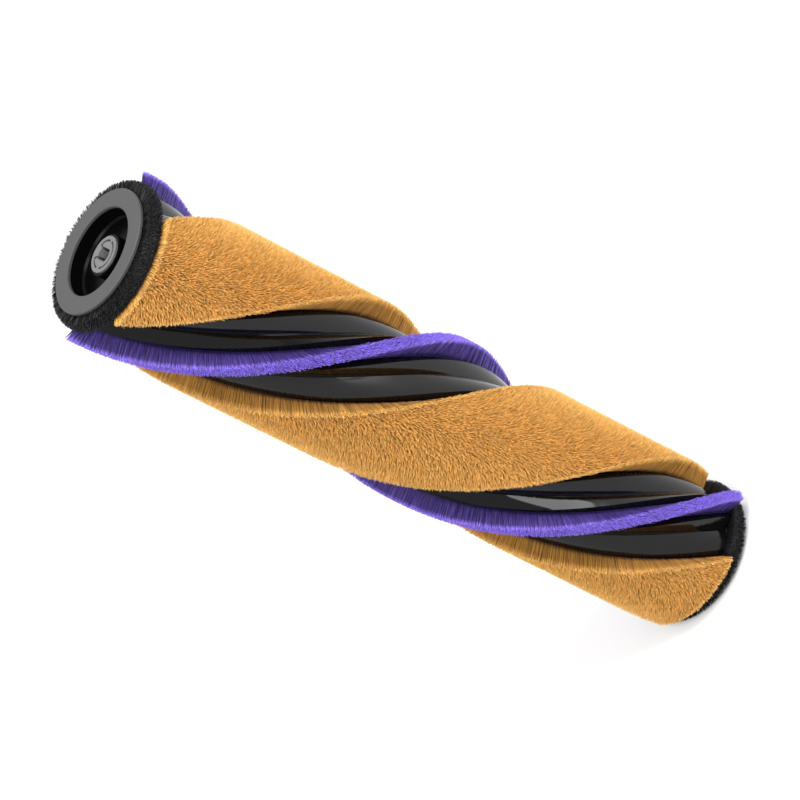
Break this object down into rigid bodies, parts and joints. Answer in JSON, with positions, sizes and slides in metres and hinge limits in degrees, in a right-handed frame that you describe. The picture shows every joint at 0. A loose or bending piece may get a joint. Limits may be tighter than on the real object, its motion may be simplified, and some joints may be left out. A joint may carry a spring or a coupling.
{
  "type": "vacuum cleaner roller brush",
  "caption": "Roller brush for a vacuum cleaner head: fluted black core with helical gold pile and violet bristle strips, keyed drive socket at one end and ball bearing at the other.",
  "frame": {"origin": "on the roller's axis, in the plane of the free end's rim face, on which it stands", "axes": "+Z along the roller's axis from the free end to the drive end; +X through the middle of the first gold pile where its helix crosses Z = 0"},
  "size_m": [0.0506, 0.0506, 0.225],
  "materials": {
    "core_black": "glossy black moulded plastic",
    "tape_brown": "woven backing tape",
    "pile_gold": "dense gold plush pile",
    "carrier_violet": "dark violet moulded strip",
    "bristle_violet": "violet nylon bristles",
    "cap_black": "black moulded plastic",
    "rim_grey": "satin grey plastic",
    "tape_black": "woven backing tape",
    "bristle_black": "short black nylon bristles",
    "socket_grey": "satin grey moulded plastic",
    "bearing_steel": "ground steel",
    "shield_steel": "pressed steel",
    "spring_steel": "dark spring steel",
    "cage_brass": "pressed brass",
    "ball_steel": "polished steel",
    "axle_steel": "turned steel",
    "bush_black": "black moulded plastic"
  },
  "bodies": {
    "roller": {"core": "core_black", "pile_tape_a": "tape_brown", "pile_tape_b": "tape_brown", "pile_a": "pile_gold", "pile_b": "pile_gold", "strip_carrier_a": "carrier_violet", "strip_carrier_b": "carrier_violet", "strip_bristles_a": "bristle_violet", "strip_bristles_b": "bristle_violet", "drive_end_cap": "cap_black", "drive_end_rim": "rim_grey", "drive_end_tape": "tape_black", "drive_end_bristles": "bristle_black", "drive_socket": "socket_grey", "free_end_cap": "cap_black", "free_end_rim": "rim_grey", "free_end_tape": "tape_black", "free_end_bristles": "bristle_black", "bearing_outer_ring": "bearing_steel", "bearing_shield_front": "shield_steel", "bearing_shield_rear": "shield_steel", "bearing_circlip": "spring_steel"},
    "axle": {"axle_pin": "axle_steel", "axle_bush": "bush_black", "bearing_inner_ring": "bearing_steel", "axle_clip": "spring_steel"},
    "cage": {"bearing_cage": "cage_brass", "bearing_balls": "ball_steel"}
  },
  "joints": [
    {"name": "axle_spin", "type": "hinge", "parent": "roller", "child": "axle", "pos_m": [0, 0, 0.0092], "axis": [0, 0, 1], "continuous": true},
    {"name": "cage_spin", "type": "hinge", "parent": "roller", "child": "cage", "pos_m": [0, 0, 0.0092], "axis": [0, 0, 1], "continuous": true}
  ],
  "couplings": [
    {"joint": "cage_spin", "follows": "axle_spin", "ratio": 0.4083}
  ]
}
